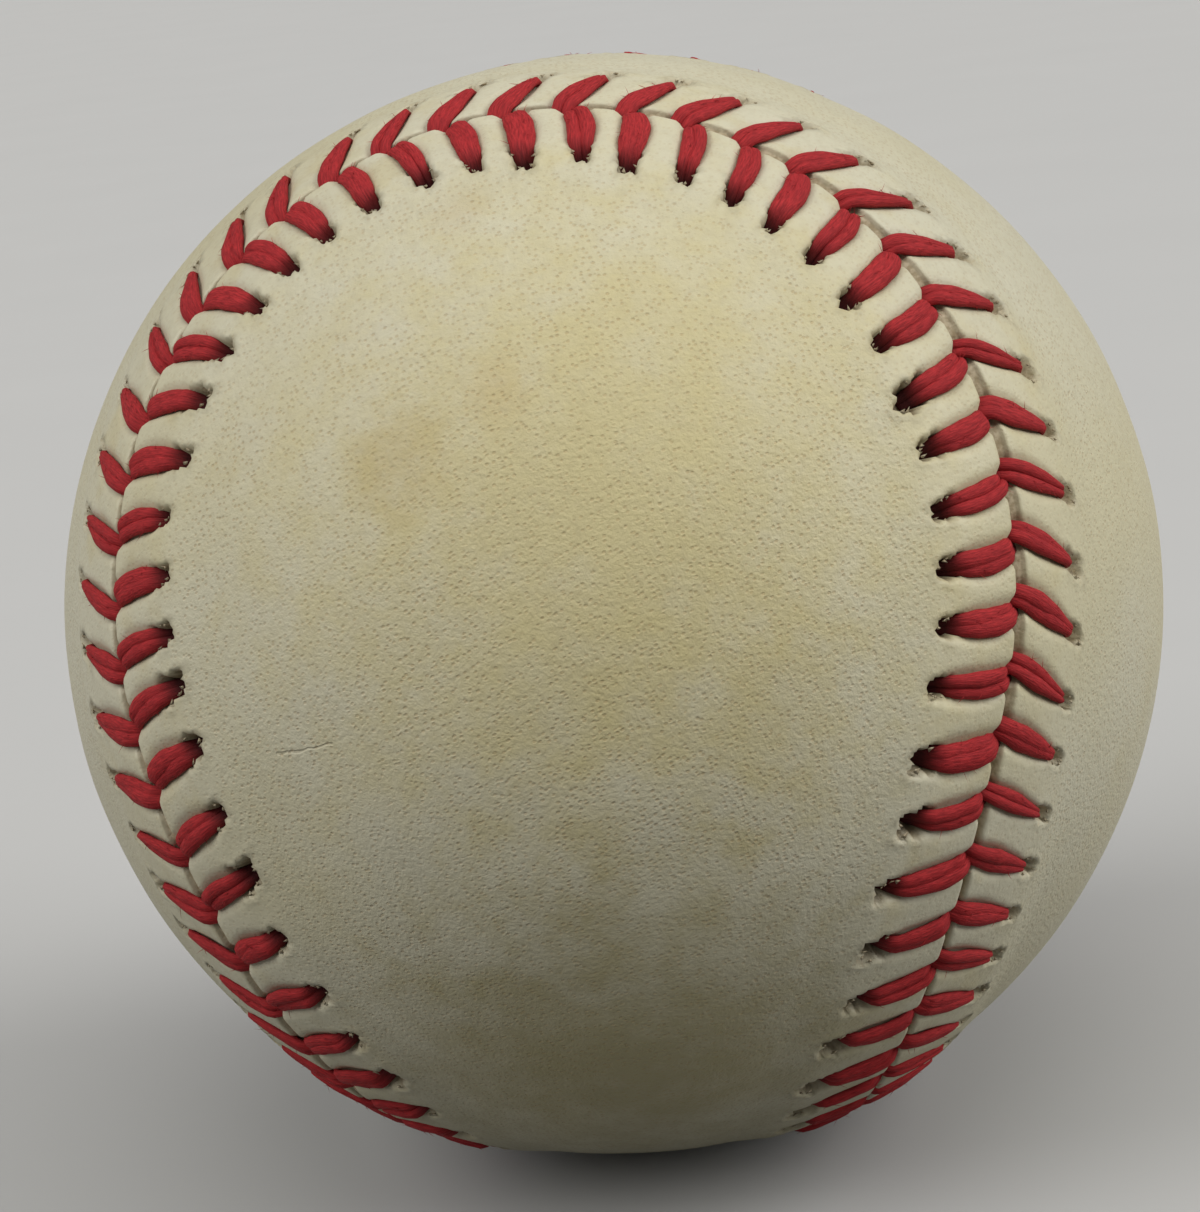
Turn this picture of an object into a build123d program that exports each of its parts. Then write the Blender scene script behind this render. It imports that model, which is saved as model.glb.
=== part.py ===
from build123d import *
import math
import os

# Baseball: a cork and rubber pill, four yarn windings, a coat of cement and a cover of two
# leather panels, sewn together along one closed seam. Lengths are in millimetres, angles in degrees.
# The origin is the ball's centre. Z runs through the narrow waists of the two panels, and -Y
# runs through the middle of the front lobe, whose round end points up.

# Pill, from the inside out
cork_diameter = 20.6
black_rubber_wall = 3.3
gasket_thickness = 1.2
red_rubber_wall = 3.85

# Windings and cement, from the inside out
inner_grey_wool_depth = 13.85
white_wool_depth = 1.75
outer_grey_wool_depth = 2.3
cotton_depth = 0.4
cement_thickness = 0.1

# Leather cover: widths and distances along it are measured on its plain outside
cover_thickness = 1.2
seam_waist_width = 25.8
lobe_end_radius = 29.3
lobe_end_half_angle = 58.8
seam_gap = 0.8
edge_round_radius = 0.6
cut_overrun = 1.0

# Welt: the cover rises from its foot to a knee, and from there gently to the seam
welt_foot_half_width = 9.0
welt_knee_half_width = 6.8
welt_knee_height = 0.35
welt_height = 0.6

# Channel below the welt, of the same form
channel_foot_half_width = 7.5
channel_knee_half_width = 5.0
channel_knee_height = 0.3
channel_height = 0.5

# Stitches: a leg's lean is its angle from the line square to the seam, in the sense of travel
stitches_per_lobe = 27
thread_width = 1.6
thread_thickness = 0.7
thread_inner_bend_radius = 0.15
hole_setback = 5.9
hole_clearance = 0.12
seat_clearance = 0.05
groove_tail_depth = 0.2
leg_lean_on_a = 25.5
leg_lean_on_b = 8.5

# Outside radii of the layers
cork_radius = cork_diameter / 2
black_rubber_radius = cork_radius + black_rubber_wall
pill_radius = black_rubber_radius + red_rubber_wall
inner_grey_wool_radius = pill_radius + inner_grey_wool_depth
white_wool_radius = inner_grey_wool_radius + white_wool_depth
outer_grey_wool_radius = white_wool_radius + outer_grey_wool_depth
cotton_radius = outer_grey_wool_radius + cotton_depth
cover_inner_radius = cotton_radius + cement_thickness
cover_radius = cover_inner_radius + cover_thickness
seam_radius = cover_radius + welt_height

centre = Vector(0, 0, 0)
lobe_names = ["front", "right", "back", "left"]
waist_angle = seam_waist_width / 2 / cover_radius
lobe_end_angle = lobe_end_radius / cover_radius

os.makedirs("parts", exist_ok=True)


def turned(direction, axis, angle):
    """A direction turned by some degrees about an axis through the ball's centre."""
    return direction.rotate(Axis(centre, axis), angle)


def flank_arc(start, end, travel):
    """The circle on the sphere that leaves start along travel and passes through end."""
    axis = (end - start).cross(travel).normalized()
    if axis.cross(start).dot(travel) < 0:
        axis = axis * -1
    arm_to_start = start - axis * axis.dot(start)
    arm_to_end = end - axis * axis.dot(end)
    return axis, arm_to_start.get_signed_angle(arm_to_end, axis) % 360


# The seam travels up the left of the front lobe, over its round end and down its right, and so on
# round the right, back and left lobes. Each lobe has a round end of one arc and two flanks that
# leave it smoothly and end midway to the next lobe. An arc is an axis, a first direction and an angle.
def lobe_arcs(number):
    """The three arcs of one lobe's stretch of the seam, in the sense of travel."""
    out = turned(Vector(0, -1, 0), Vector(0, 0, 1), 90 * number)
    side = turned(Vector(1, 0, 0), Vector(0, 0, 1), 90 * number)
    sense = 1 if number % 2 == 0 else -1
    end_way = Vector(0, 0, sense)
    tip = end_way * math.cos(waist_angle) + out * math.sin(waist_angle)
    middle_angle = waist_angle + lobe_end_angle
    middle = end_way * math.cos(middle_angle) + out * math.sin(middle_angle)
    end_axis = middle * -sense
    first = turned(tip, end_axis, -lobe_end_half_angle)
    last = turned(tip, end_axis, lobe_end_half_angle)
    joint_before = (out - side).normalized()
    joint_after = (out + side).normalized()
    axis_before, angle_before = flank_arc(first, joint_before, first.cross(end_axis))
    axis_after, angle_after = flank_arc(last, joint_after, end_axis.cross(last))
    return [
        (axis_before * -1, joint_before, angle_before),
        (end_axis, first, 2 * lobe_end_half_angle),
        (axis_after, last, angle_after),
    ]


def arc_length(arc):
    """Length of a seam arc along the cover."""
    axis, first, angle = arc
    return math.radians(angle) * axis.cross(first).length * cover_radius


seam_arcs = [arc for number in range(len(lobe_names)) for arc in lobe_arcs(number)]
lobe_seam_length = sum(arc_length(arc) for arc in lobe_arcs(0))
seam_length = lobe_seam_length * len(lobe_names)
stitch_pitch = lobe_seam_length / stitches_per_lobe


def seam_station(distance):
    """The outward direction and the travel direction at a distance along the seam."""
    rest = distance % seam_length
    for arc in seam_arcs:
        if rest <= arc_length(arc):
            break
        rest = rest - arc_length(arc)
    axis, first, angle = arc
    outward = turned(first, axis, angle * rest / arc_length(arc))
    return outward, axis.cross(outward).normalized()


def across(width, radius):
    """The point of the seam's cross-section at a width along the cover and a radius."""
    return radius * math.sin(width / cover_radius), radius * math.cos(width / cover_radius)


def raised_points(base_radius, foot_half_width, knee_half_width, knee_height, height):
    """Half the cross-section of a ring that rises over a sphere towards the seam."""
    return [
        (0, base_radius - cut_overrun),
        across(foot_half_width, base_radius - cut_overrun),
        across(foot_half_width, base_radius),
        across(knee_half_width, base_radius + knee_height),
        (0, base_radius + height),
    ]


# Pill: a cork ball in two rubber cups with a gasket between their rims
with BuildPart() as cork_core:
    Sphere(cork_radius)
cork_core.part.label = "cork_core"
export_step(cork_core.part, "parts/cork_core.step")

with BuildPart() as cup_gasket:
    with BuildSketch(Plane.XZ):
        Rectangle(black_rubber_radius, gasket_thickness, align=(Align.MIN, Align.CENTER))
        Circle(black_rubber_radius, mode=Mode.INTERSECT)
        Circle(cork_radius, mode=Mode.SUBTRACT)
    revolve(axis=Axis.Z)
cup_gasket.part.label = "cup_gasket"
export_step(cup_gasket.part, "parts/cup_gasket.step")

with BuildPart() as rubber_cup_upper:
    with BuildSketch(Plane.XZ):
        with Locations((0, gasket_thickness / 2)):
            Rectangle(black_rubber_radius, black_rubber_radius, align=(Align.MIN, Align.MIN))
        Circle(black_rubber_radius, mode=Mode.INTERSECT)
        Circle(cork_radius, mode=Mode.SUBTRACT)
    revolve(axis=Axis.Z)
rubber_cup_upper.part.label = "rubber_cup_upper"
export_step(rubber_cup_upper.part, "parts/rubber_cup_upper.step")

with BuildPart() as rubber_cup_lower:
    mirror(rubber_cup_upper.part, about=Plane.XY)
rubber_cup_lower.part.label = "rubber_cup_lower"
export_step(rubber_cup_lower.part, "parts/rubber_cup_lower.step")

# Closed layers: the rubber jacket of the pill, the yarn windings and the coat of cement
layers = [
    ("red_rubber_jacket", black_rubber_radius, pill_radius),
    ("inner_grey_wool_winding", pill_radius, inner_grey_wool_radius),
    ("white_wool_winding", inner_grey_wool_radius, white_wool_radius),
    ("outer_grey_wool_winding", white_wool_radius, outer_grey_wool_radius),
    ("cotton_winding", outer_grey_wool_radius, cotton_radius),
    ("cement_coat", cotton_radius, cover_inner_radius),
]
for layer_name, inside_radius, outside_radius in layers:
    with BuildPart() as layer:
        Sphere(outside_radius)
        Sphere(inside_radius, mode=Mode.SUBTRACT)
    layer.part.label = layer_name
    export_step(layer.part, f"parts/{layer_name}.step")

# Leather cover: a shell that rises in a welt along the seam, is hollow below the welt, and is parted
# by a groove with round shoulders. The cross-section's X points to panel a, and its Y outward.
seam_start, start_travel = seam_station(0)
seam_section = Plane(origin=centre, x_dir=seam_start.cross(start_travel), z_dir=start_travel)
groove_floor = cover_inner_radius - cut_overrun
groove_top = seam_radius + cut_overrun
shoulder_reach = seam_gap / 2 + edge_round_radius
shoulder_height = seam_radius - edge_round_radius

with BuildLine() as seam_line:
    for axis, first, angle in seam_arcs:
        arc_points = [turned(first, axis, angle * share) * seam_radius for share in (0, 1 / 2, 1)]
        ThreePointArc(*arc_points)
seam_path = seam_line.wire()

with BuildPart() as cover:
    Sphere(cover_radius)
    with BuildSketch(seam_section):
        with BuildLine():
            Polyline(
                *raised_points(
                    cover_radius, welt_foot_half_width, welt_knee_half_width, welt_knee_height, welt_height
                )
            )
            mirror(about=Plane.YZ)
        make_face()
    sweep(path=seam_path)
    Sphere(cover_inner_radius, mode=Mode.SUBTRACT)
    with BuildSketch(seam_section):
        with BuildLine():
            Polyline(
                *raised_points(
                    cover_inner_radius,
                    channel_foot_half_width,
                    channel_knee_half_width,
                    channel_knee_height,
                    channel_height,
                )
            )
            mirror(about=Plane.YZ)
        make_face()
    sweep(path=seam_path, mode=Mode.SUBTRACT)
    with BuildSketch(seam_section):
        with BuildLine():
            Line((0, groove_floor), (seam_gap / 2, groove_floor))
            Line((seam_gap / 2, groove_floor), (seam_gap / 2, shoulder_height))
            CenterArc((shoulder_reach, shoulder_height), edge_round_radius, 180, -90)
            Line((shoulder_reach, seam_radius), (shoulder_reach, groove_top))
            Line((shoulder_reach, groove_top), (0, groove_top))
            mirror(about=Plane.YZ)
        make_face()
    sweep(path=seam_path, mode=Mode.SUBTRACT)

# Stitch legs: each comes up through a hole, lies on the welt, and bends down into the groove.
# A leg is drawn in the plane of the ball's centre, its end in the groove (on Y) and its hole.
leg_leans = {"a": leg_lean_on_a, "b": leg_lean_on_b}
panel_sides = {"a": 1, "b": -1}
bend_radius = thread_inner_bend_radius + thread_thickness / 2
knee_reach, knee_level = across(welt_knee_half_width, cover_radius + welt_knee_height)
welt_slope = (seam_radius - knee_level) / knee_reach


def welt_radius(width):
    """Radius of the cover's outside at a width from the seam, short of the welt's knee."""
    angle = width / cover_radius
    return seam_radius / (math.cos(angle) + welt_slope * math.sin(angle))


def leg_angle(panel):
    """Angle at the ball's centre from the end of a leg in the groove to its hole, in radians."""
    return math.asin(math.sin(hole_setback / cover_radius) / math.cos(math.radians(leg_leans[panel])))


def leg_plane(panel, stitch):
    """The plane of a stitch's leg: its Y points out through the groove and its X along the leg."""
    lean = math.radians(leg_leans[panel])
    station = (stitch + 1 / 2) * stitch_pitch - hole_setback * math.tan(lean)
    outward, travel = seam_station(station)
    along = outward.cross(travel) * panel_sides[panel] * math.cos(lean) + travel * math.sin(lean)
    return Plane(origin=centre, x_dir=along, z_dir=along.cross(outward))


def hole_plane(panel, stitch):
    """The plane across a stitch hole at the ball's centre, its X across the leg."""
    plane = leg_plane(panel, stitch)
    angle = leg_angle(panel)
    outward = plane.y_dir * math.cos(angle) + plane.x_dir * math.sin(angle)
    return Plane(origin=outward * groove_floor, x_dir=plane.z_dir, z_dir=outward)


legs = {}
for panel in leg_leans:
    hole_angle = leg_angle(panel)
    seat_height = seat_clearance + thread_thickness / 2
    hole_radius = welt_radius(hole_setback)
    hole_way = Vector(math.sin(hole_angle), math.cos(hole_angle))
    with BuildPart() as leg:
        with BuildLine():
            leg_line = FilletPolyline(
                hole_way * (hole_radius - cover_thickness),
                hole_way * (hole_radius + seat_height),
                (0, seam_radius + seat_height),
                (0, seam_radius - groove_tail_depth),
                radius=bend_radius,
            )
        with BuildSketch(Plane(origin=leg_line @ 0, x_dir=(0, 0, 1), z_dir=leg_line % 0)):
            Ellipse(thread_width / 2, thread_thickness / 2)
        sweep()
    legs[panel] = leg.part

# Two panels: a has the right and left lobes, b the front and back lobes
stitch_count = stitches_per_lobe * len(lobe_names)
panel_middles = {"a": Vector(cover_radius, 0, 0), "b": Vector(0, -cover_radius, 0)}
for panel, middle in panel_middles.items():
    with BuildPart() as cover_panel:
        add(cover.solids().sort_by_distance(middle)[0])
        with BuildSketch(*[hole_plane(panel, stitch) for stitch in range(stitch_count)]):
            Ellipse(thread_width / 2 + hole_clearance, thread_thickness / 2 + hole_clearance)
        extrude(amount=groove_top - groove_floor, mode=Mode.SUBTRACT)
    cover_panel.part.label = f"cover_panel_{panel}"
    export_step(cover_panel.part, f"parts/cover_panel_{panel}.step")

# Rows of legs, one for each lobe's stretch of the seam and each panel
for number, lobe_name in enumerate(lobe_names):
    for panel in leg_leans:
        row_stitches = range(number * stitches_per_lobe, (number + 1) * stitches_per_lobe)
        with BuildPart() as stitch_row:
            with Locations(*[leg_plane(panel, stitch).location for stitch in row_stitches]):
                add(legs[panel])
        stitch_row.part.label = f"stitches_{lobe_name}_on_{panel}"
        export_step(stitch_row.part, f"parts/stitches_{lobe_name}_on_{panel}.step")
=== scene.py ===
import math

import bpy
import numpy as np
from mathutils import Matrix, Vector
from mathutils.geometry import delaunay_2d_cdt

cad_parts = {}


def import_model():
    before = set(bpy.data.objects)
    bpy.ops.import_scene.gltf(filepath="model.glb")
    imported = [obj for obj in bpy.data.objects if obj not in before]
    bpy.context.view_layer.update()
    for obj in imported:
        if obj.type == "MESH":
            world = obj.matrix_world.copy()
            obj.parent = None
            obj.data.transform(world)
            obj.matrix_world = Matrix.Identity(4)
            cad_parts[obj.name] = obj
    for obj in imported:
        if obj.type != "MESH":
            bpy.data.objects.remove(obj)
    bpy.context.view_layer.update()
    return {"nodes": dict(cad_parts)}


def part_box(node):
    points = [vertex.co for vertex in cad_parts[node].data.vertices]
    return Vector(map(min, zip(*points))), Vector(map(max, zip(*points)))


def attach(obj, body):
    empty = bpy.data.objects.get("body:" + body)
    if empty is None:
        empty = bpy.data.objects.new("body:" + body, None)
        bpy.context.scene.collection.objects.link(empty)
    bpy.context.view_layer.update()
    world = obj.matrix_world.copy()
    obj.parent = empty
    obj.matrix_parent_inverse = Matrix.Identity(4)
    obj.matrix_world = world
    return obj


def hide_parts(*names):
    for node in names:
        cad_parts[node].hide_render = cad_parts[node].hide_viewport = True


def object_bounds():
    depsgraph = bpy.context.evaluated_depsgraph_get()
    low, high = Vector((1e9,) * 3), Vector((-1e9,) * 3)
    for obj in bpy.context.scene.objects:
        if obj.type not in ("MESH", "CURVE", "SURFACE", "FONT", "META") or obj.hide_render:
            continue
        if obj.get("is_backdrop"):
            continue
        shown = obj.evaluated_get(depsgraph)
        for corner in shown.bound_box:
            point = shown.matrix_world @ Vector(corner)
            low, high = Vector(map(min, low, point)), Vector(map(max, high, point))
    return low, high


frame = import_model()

# Lengths are in millimetres until a mesh, a light or the camera takes them, in metres
MM = 0.001

# Cover and seam, as in the solids. The seam runs along the front, right, back and left lobes in turn
cover_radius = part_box("cover_panel_a")[1][0] / MM
cover_inner_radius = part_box("cement_coat")[1][0] / MM
lining_gap = 0.01
seam_waist_width = 25.8
lobe_end_radius = 29.3
lobe_end_half_angle = math.radians(58.8)
stitches_per_lobe = 27
stitch_count = 4 * stitches_per_lobe
lobe_names = ["front", "right", "back", "left"]

# Which way from the seam each panel lies
sides = {"a": 1, "b": -1}

# Leather beside the seam: a swollen welt, stretched tight near the seam and run out within a band
welt_height = 0.50
welt_plateau_height = 0.32
welt_plateau_width = 5.6
welt_run_out = 0.2
band_width = 9.5
taut_range = (8.5, 5.0)

# Slow unevenness of the hide: height, then direction and phase of two crossed waves
hide_waves = (
    (0.035, (0.31, 0.17, -0.22), 0.6, (-0.12, 0.29, 0.25), 2.1),
    (0.018, (0.62, -0.41, 0.37), 4.0, (0.33, 0.55, -0.48), 1.2),
)

# Cut edges at the groove: distance of their top and foot from the seam, and a notch under each leg.
# Panel a's edge stands further back along one flank of each lobe and opens the groove, as in the photo
edge_setbacks = {"a": 0.40, "b": 0.10}
edge_feet = {"a": 0.10, "b": 0.24}
edge_notch = 0.26
edge_round = 0.30
groove_opening = 0.36
groove_opening_station = 84.0
notch_probe = 0.4

# Leather under the legs: a valley that runs a little past the hole, and puffed leather between valleys
valley_depth = 0.38
valley_half_share = 0.60
valley_least_leaf = 0.4
valley_runs_past = {"a": 0.7, "b": 1.5}
valley_fade = 0.7
valley_outer_share = 0.35
crown_height = 0.05
sewn_range = (7.6, 4.6)

# Holes: torn openings with a raised rim, with painted shade inside. Tears are waves round the hole: size,
# count, phase
pit_depths = {"a": 0.66, "b": 1.12}
hole_half_lengths = {"a": 0.80, "b": 1.05}
hole_half_widths = {"a": 0.60, "b": 0.70}
hole_insets = {"a": 0.42, "b": 0.45}
hole_painted_shades = {"a": 0.10, "b": 1.0}
hole_tears = ((0.15, 5, 1.0), (0.12, 9, 2.3))
hole_wall = (1.10, 0.78)
rim_middle = 1.28
rim_width = 0.24
rim_height = 0.06
# Dirt on the hole rims, and painted shade in the valleys under the legs
rim_grime = 0.22
valley_painted_shade = 0.14
raw_gain = 1.3

# Shreds of hide round each hole
shreds_per_hole = 4
shred_spread = 0.6 * math.pi
shred_lengths = (0.2, 0.45)
shred_lifts = (-0.14, 0.04)
shred_breadths = (0.10, 0.2)
shred_sway = 0.15
shred_root = 1.15
shred_belly = 1.1
shred_sink = 0.02
shred_belly_sink = 0.16
shred_tip_sink = 0.05
shred_raw = 0.9
shred_grime = 0.4

# Stitch legs: size, distance of the holes from the seam, lean, sideways bow, and reach over the groove
thread_widths = {"a": 1.62, "b": 1.76}
thread_thickness = 0.66
setbacks = {"a": 6.05, "b": 5.55}
leans = {"a": math.radians(20.0), "b": math.radians(15.0)}
bows = {"a": -0.03, "b": 0.24}
bow_skew = 0.35
line_reach = (-0.25, 1.5)
groove_reaches = {"a": -0.55, "b": -0.35}
hole_shortfall = 0.1

# A leg's leaf shape: fullest before the middle, narrower at the groove and most at the hole
leaf_fullest = 0.38
leaf_powers = {"a": 1.5, "b": 2.2}
groove_end_shares = {"a": 0.82, "b": 0.78}
hole_end_losses = {"a": 0.80, "b": 0.42}

# How a leg sits on the leather, rises in the middle and dives into the groove and its hole
seat_share = 0.46
seat_inner = 0.6
leg_rise = 0.05
groove_dive = 0.72
groove_dive_run = 1.25
groove_shade_run = 0.7
hole_dive = 1.4
hole_dive_runs = {"a": 1.1, "b": 1.6}
hole_shade_share = 0.4

# A leg's two strands: their share of its width, roll about each other and swelling, different in each leg
strand_apart = 0.36
strand_apart_sway = 0.10
strand_roll = 0.55
strand_roll_middle = 0.45
strand_roll_sway = 0.22
strand_thin_share = 0.70
strand_swell = 0.05
strand_swell_rate = 9
strand_ripple = 0.03
strand_ripple_rate = 23
strand_phase = 2
leg_phases = {"apart": 2.4, "swell": 1.7, "ripple": 2.9, "roll": 3.1}
fibre_step_per_leg = 13.7
fibre_step_per_strand = 5.1

# Loose fibres on a leg: where they start on it, ranges of their lean, lift and length, and radii along them
hairs_per_leg = 7
hair_first_ring = 2
hair_last_rings = 5
hair_root_spread = 0.9
hair_root_height = 0.42
hair_root_curve = 0.8
hair_leans = (0.3, 1)
hair_lifts = (0.1, 0.45)
hair_lengths = (0.35, 0.8)
hair_bend = 0.15
hair_rings = ((0.0, 0.024), (0.5, 0.018))
hair_corners = (0.0, 2.1, 4.2)
hair_fibre_step = 0.37
hair_fibre_side = 0.4

# Hand sewing is uneven. As in the photo, stitches crowd round one station on the front, and so on the back
sewing_spread = {"hole_s": 0.13, "setback": 0.14, "end_s": 0.12, "width": 0.06, "open": 0.12}
crowding = 1.2
crowding_station = 62.5
seed = 11

# Mesh steps
columns_per_stitch = 16
interior_step = 0.95
lattice_cell_share = 0.866
filling_gap_share = 0.45
seam_samples = 2400
search_chunks = 24
leg_rings = 20
strand_sides = 10

# Rows of the band: up the cut edge as shares of its height, then outwards from its top
wall_shares = (0.40, 0.70, 0.78, 0.86, 0.94)
# Painted shade at the foot of the cut edge, fading up the wall
wall_lean_start = 0.66
wall_painted_shade = 0.3
cut_width = 0.10
cut_raw = 0.6
cut_grime = 0.1
band_reach = band_width - edge_notch
edge_rows = [0.0, 0.05, 0.13, 0.24, 0.38, 0.55]
sewn_rows = np.arange(0.76, 7.7, 0.235)
outer_rows = np.linspace(7.85, band_reach, 6)
band_rows = np.concatenate([edge_rows, sewn_rows, outer_rows])

# Photograph: the ball's edge circle in pixels, and the camera that fits the seam
photo_size = (1200, 1212)
edge_centre_px = (614.0, 604.7)
edge_radius_px = 549.3
camera_distance_share = 5.60
camera_azimuth = math.radians(7.85)
camera_elevation = math.radians(14.56)
camera_roll = math.radians(6.63)
sensor_width = 36
clip_start = 0.01

# Soft lamps: direction they shine from, strength and colour
lamp_angle = math.radians(45)
lamps = {
    "overhead": ((0.10, -0.34, 1.0), 0.96, (1.0, 0.99, 0.96)),
    "left_side": ((-0.91, -0.42, 0.80), 1.45, (1.0, 0.99, 0.97)),
    "right_side": ((1.0, -0.05, 0.59), 1.98, (1.0, 0.99, 0.97)),
}
room_colour = (1.0, 0.99, 0.97, 1)
room_strength = 0.18
floor_half_width = 4.0

# Colours of the hide, the thread and the floor
pale_hide = (0.62, 0.59, 0.445, 1)
warm_hide = (0.60, 0.555, 0.370, 1)
blotch_brown = (0.50, 0.42, 0.20, 1)
sweat_yellow = (0.53, 0.43, 0.17, 1)
mottle_brown = (0.34, 0.28, 0.17, 1)
pore_brown = (0.40, 0.25, 0.10, 1)
raw_dark = (0.40, 0.32, 0.19, 1)
raw_light = (0.62, 0.53, 0.36, 1)
# Dark brown for dirt, and for painted shade in the holes, the valleys and the groove's foot
grime_and_shade_brown = (0.10, 0.066, 0.034, 1)
# Painted shade along the crack
crease_painted_shade = (0.32, 0.24, 0.13, 1)
thread_dark = (0.22, 0.009, 0.012, 1)
thread_light = (0.525, 0.031, 0.035, 1)
thread_worn = (0.32, 0.016, 0.022, 1)
# Painted shade where the legs dive into the groove and their holes
thread_painted_shade = (0.022, 0.004, 0.005, 1)
cloth_grey = (0.485, 0.485, 0.48, 1)
cloth_pale = (0.505, 0.505, 0.50, 1)
cloth_bounce = (0.07, 0.07, 0.065, 1)

# Marks on the front, age marks and at the bottom dirt with painted shade: degrees round and up, radius in
# millimetres, strength and colour
stains = {
    "handled_middle": (6, 24, 27.0, 0.76, (0.585, 0.505, 0.24, 1)),
    "brown_spot": (-13, 29, 4.2, 0.46, (0.45, 0.34, 0.11, 1)),
    "smear": (-2, 35, 2.8, 0.28, (0.50, 0.36, 0.13, 1)),
    "upper_smear": (-10, 55, 2.4, 0.30, (0.50, 0.37, 0.16, 1)),
    # Darker towards the bottom: dirt and painted shade of the underside
    "lower_grime_and_shade": (3, -34, 18.0, 0.72, (0.34, 0.29, 0.12, 1)),
    "right_tint": (20, 4, 9.0, 0.30, (0.54, 0.46, 0.20, 1)),
}

# A short crack in the hide at the front's left, darkened with painted shade: its ends in degrees round and
# up, and its size
crease_ends = ((-25.6, 2.2), (-19.6, 3.2))
crease_waver = 1.3
crease_half_widths = (0.13, 0.03)

random = np.random.default_rng(seed)


# Seam: each lobe has an end arc and two flanks, circles on the sphere, as in the solids
def unit(v):
    return v / np.linalg.norm(v)


def turned(v, axis, angle):
    """Vectors turned about an axis through the ball's centre, by one angle or an array of angles."""
    angle = np.asarray(angle, float)[..., None]
    along = axis * np.dot(v, axis)
    return along + (v - along) * np.cos(angle) + np.cross(axis, v) * np.sin(angle)


def flank_arc(start, end, travel):
    """Axis and angle of the circle that leaves the start in the travel direction and meets the end."""
    axis = unit(np.cross(end - start, travel))
    if np.dot(np.cross(axis, start), travel) < 0:
        axis = -axis
    arm = start - axis * np.dot(axis, start)
    reach = end - axis * np.dot(axis, end)
    angle = math.atan2(np.dot(np.cross(arm, reach), axis), np.dot(arm, reach))
    return axis, angle % (2 * math.pi)


def lobe_arcs(number):
    """A lobe's flank, end arc and flank: axis, first point and angle of each."""
    up = np.array([0.0, 0.0, 1.0])
    out = turned(np.array([0.0, -1.0, 0.0]), up, math.pi / 2 * number)
    side = turned(np.array([1.0, 0.0, 0.0]), up, math.pi / 2 * number)
    sense = 1 if number % 2 == 0 else -1
    waist = seam_waist_width / 2 / cover_radius
    middle_angle = waist + lobe_end_radius / cover_radius
    tip = sense * up * math.cos(waist) + out * math.sin(waist)
    end_axis = -sense * (sense * up * math.cos(middle_angle) + out * math.sin(middle_angle))
    first = turned(tip, end_axis, -lobe_end_half_angle)
    last = turned(tip, end_axis, lobe_end_half_angle)
    before, after = unit(out - side), unit(out + side)
    axis_before, angle_before = flank_arc(first, before, np.cross(first, end_axis))
    axis_after, angle_after = flank_arc(last, after, np.cross(end_axis, last))
    return [
        (-axis_before, before, angle_before),
        (end_axis, first, 2 * lobe_end_half_angle),
        (axis_after, last, angle_after),
    ]


def arc_length(axis, first, angle):
    return angle * np.linalg.norm(np.cross(axis, first)) * cover_radius


seam_arcs = [arc for number in range(4) for arc in lobe_arcs(number)]
arc_lengths = np.array([arc_length(*arc) for arc in seam_arcs])
arc_starts = np.concatenate([[0.0], np.cumsum(arc_lengths)])
seam_length = arc_starts[-1]
pitch = seam_length / stitch_count


def seam_frames(s):
    """Outward and travel directions at distances along the seam."""
    s = np.asarray(s, float) % seam_length
    outward = np.zeros(s.shape + (3,))
    travel = np.zeros(s.shape + (3,))
    number = np.clip(np.searchsorted(arc_starts, s, side="right") - 1, 0, len(seam_arcs) - 1)
    for k, (axis, first, angle) in enumerate(seam_arcs):
        here = number == k
        turn = (s[here] - arc_starts[k]) / arc_lengths[k] * angle
        outward[here] = turned(first, axis, turn)
        travel[here] = np.cross(axis, outward[here])
    return outward, travel / np.linalg.norm(travel, axis=-1, keepdims=True)


def cover_direction(side, s, y):
    """Direction from the ball's centre to a point y to one side of the seam."""
    outward, travel = seam_frames(s)
    across = np.cross(outward, travel) * side
    angle = (np.asarray(y, float) / cover_radius)[..., None]
    return outward * np.cos(angle) + across * np.sin(angle)


def stitch_rows(panel):
    """Station of each leg's hole and groove end, its setback and width, and its hole's tear and size."""
    even = (np.arange(stitch_count) + 0.5) * pitch
    seat = even - crowding * np.sin(4 * math.pi * (even - crowding_station) / seam_length)

    def uneven(key):
        return random.normal(0, sewing_spread[key], stitch_count)

    return {
        "hole_s": seat + uneven("hole_s"),
        "setback": setbacks[panel] + uneven("setback"),
        "end_s": seat - setbacks[panel] * math.tan(leans[panel]) + uneven("end_s"),
        "width": thread_widths[panel] * (1 + uneven("width")),
        "torn": random.uniform(0, 2 * math.pi, stitch_count),
        "open": 1 + uneven("open"),
    }


rows = {panel: stitch_rows(panel) for panel in sides}


def smooth(x, low, high):
    """A soft step from 0 at low to 1 at high."""
    x = np.clip((x - low) / (high - low), 0, 1)
    return x * x * (3 - 2 * x)


def wrapped(ds):
    """A distance along the seam, the short way round."""
    return (ds + seam_length / 2) % seam_length - seam_length / 2


def undulation(direction):
    """Slow unevenness of the hide."""
    p = direction * cover_radius
    height = 0.0
    for size, first, first_phase, second, second_phase in hide_waves:
        wave = np.sin(p @ np.array(first) + first_phase) * np.sin(p @ np.array(second) + second_phase)
        height = height + size * wave
    return height


def leg_middle(panel, i, y):
    """Station along the seam of a leg's middle line, at a distance y from the seam."""
    row = rows[panel]
    share = np.clip(y / row["setback"][i], *line_reach)
    lead = wrapped(row["hole_s"][i] - row["end_s"][i])
    turn = math.pi * np.clip(share, 0, 1)
    bow = bows[panel] * (np.sin(turn) + bow_skew * np.sin(2 * turn))
    return row["end_s"][i] + lead * share + bow


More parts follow.
